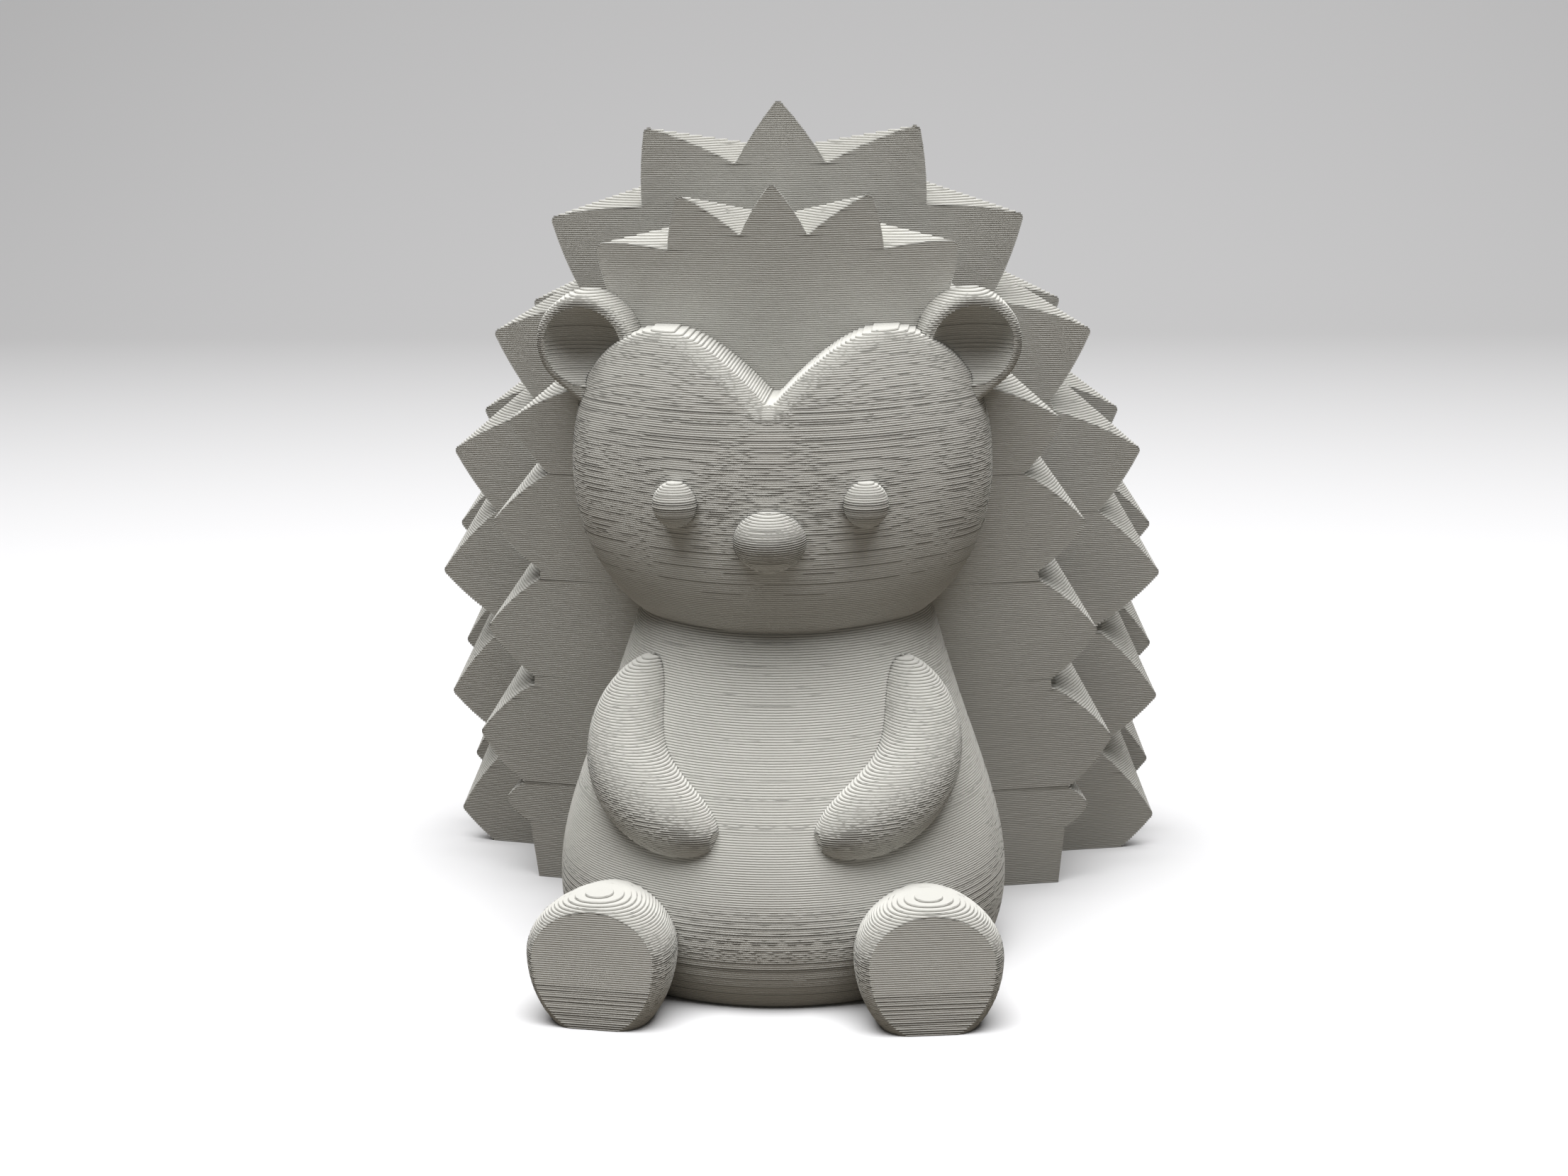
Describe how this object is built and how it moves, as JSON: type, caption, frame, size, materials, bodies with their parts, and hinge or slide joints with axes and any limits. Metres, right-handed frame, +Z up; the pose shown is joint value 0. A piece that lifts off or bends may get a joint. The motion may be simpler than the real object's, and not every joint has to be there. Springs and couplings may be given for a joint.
{
  "type": "hedgehog figurine",
  "caption": "Seated hedgehog ornament in layered matte plastic, with a rounded belly, heart-shaped brow and a coat of stacked pointed quill arches.",
  "frame": {"origin": "middle of the footprint, on the floor", "axes": "+Z up, face towards -Y, +X towards the viewer's right"},
  "size_m": [0.0728, 0.0724, 0.078],
  "materials": {
    "body": "matte, layered print",
    "quills": "matte, layered print",
    "limbs": "matte, layered print",
    "features": "matte, layered print"
  },
  "bodies": {
    "root": {"torso": "body", "head": "body", "quill_row_1": "quills", "quill_row_2": "quills", "quill_row_3": "quills", "quill_row_4": "quills", "quill_row_5": "quills", "ear_left": "limbs", "ear_right": "limbs", "eye_left": "features", "eye_right": "features", "arm_left": "limbs", "arm_right": "limbs", "foot_left": "limbs", "foot_right": "limbs", "nose": "features"}
  },
  "joints": []
}
